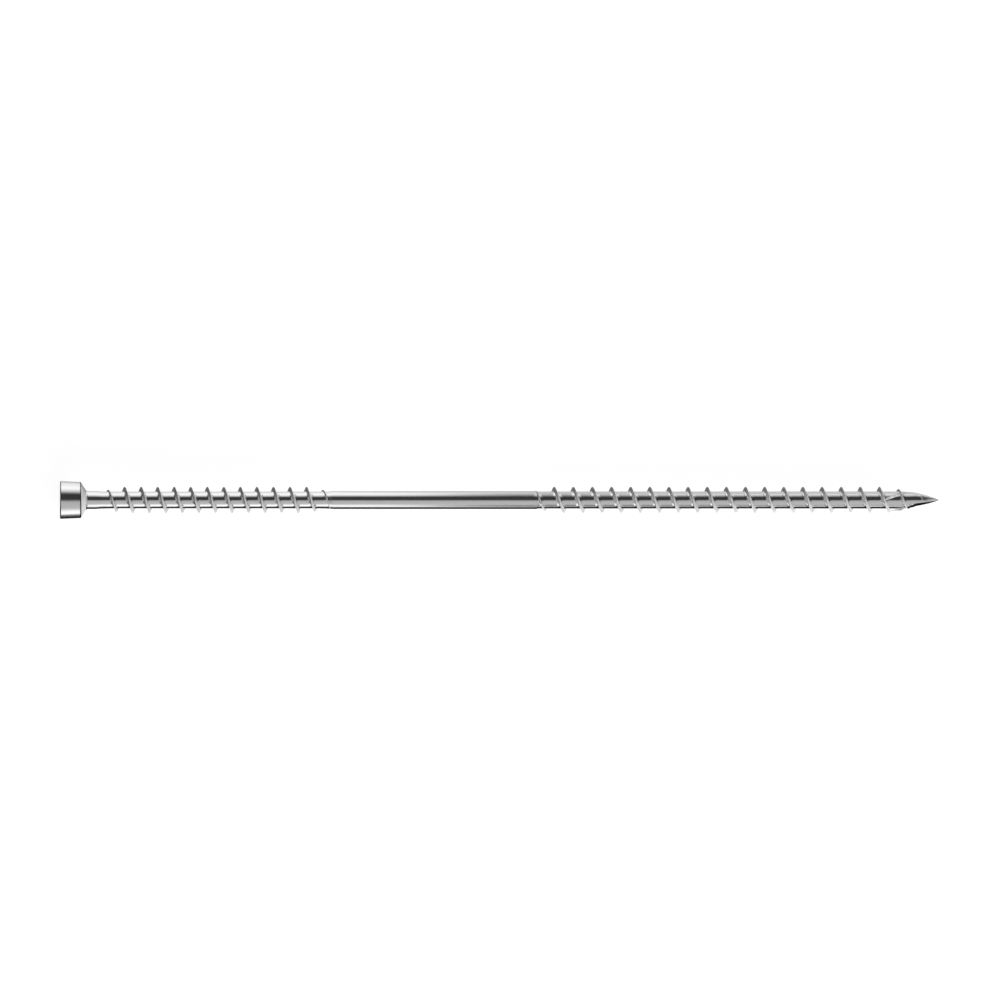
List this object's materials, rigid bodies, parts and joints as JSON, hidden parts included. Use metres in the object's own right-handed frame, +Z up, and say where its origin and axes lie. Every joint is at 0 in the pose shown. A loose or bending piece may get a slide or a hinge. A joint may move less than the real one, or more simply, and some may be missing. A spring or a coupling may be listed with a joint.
{
  "type": "double thread insulation screw",
  "caption": "Long wood screw with a cylinder head, a coarse thread under the head, a plain shank and a second coarse thread up to a cutting point.",
  "frame": {"origin": "centre of the drive socket's mouth, in the head's top face", "axes": "+X along the screw from the head to the point, +Z up as the screw lies on a table, which tips its axis down by 0.4 degrees towards the point"},
  "size_m": [0.268, 0.0114, 0.0114],
  "materials": {
    "zinc_plated_steel": "bright zinc plating, smooth, faintly mottled"
  },
  "bodies": {
    "root": {"screw": "zinc_plated_steel"}
  },
  "joints": []
}
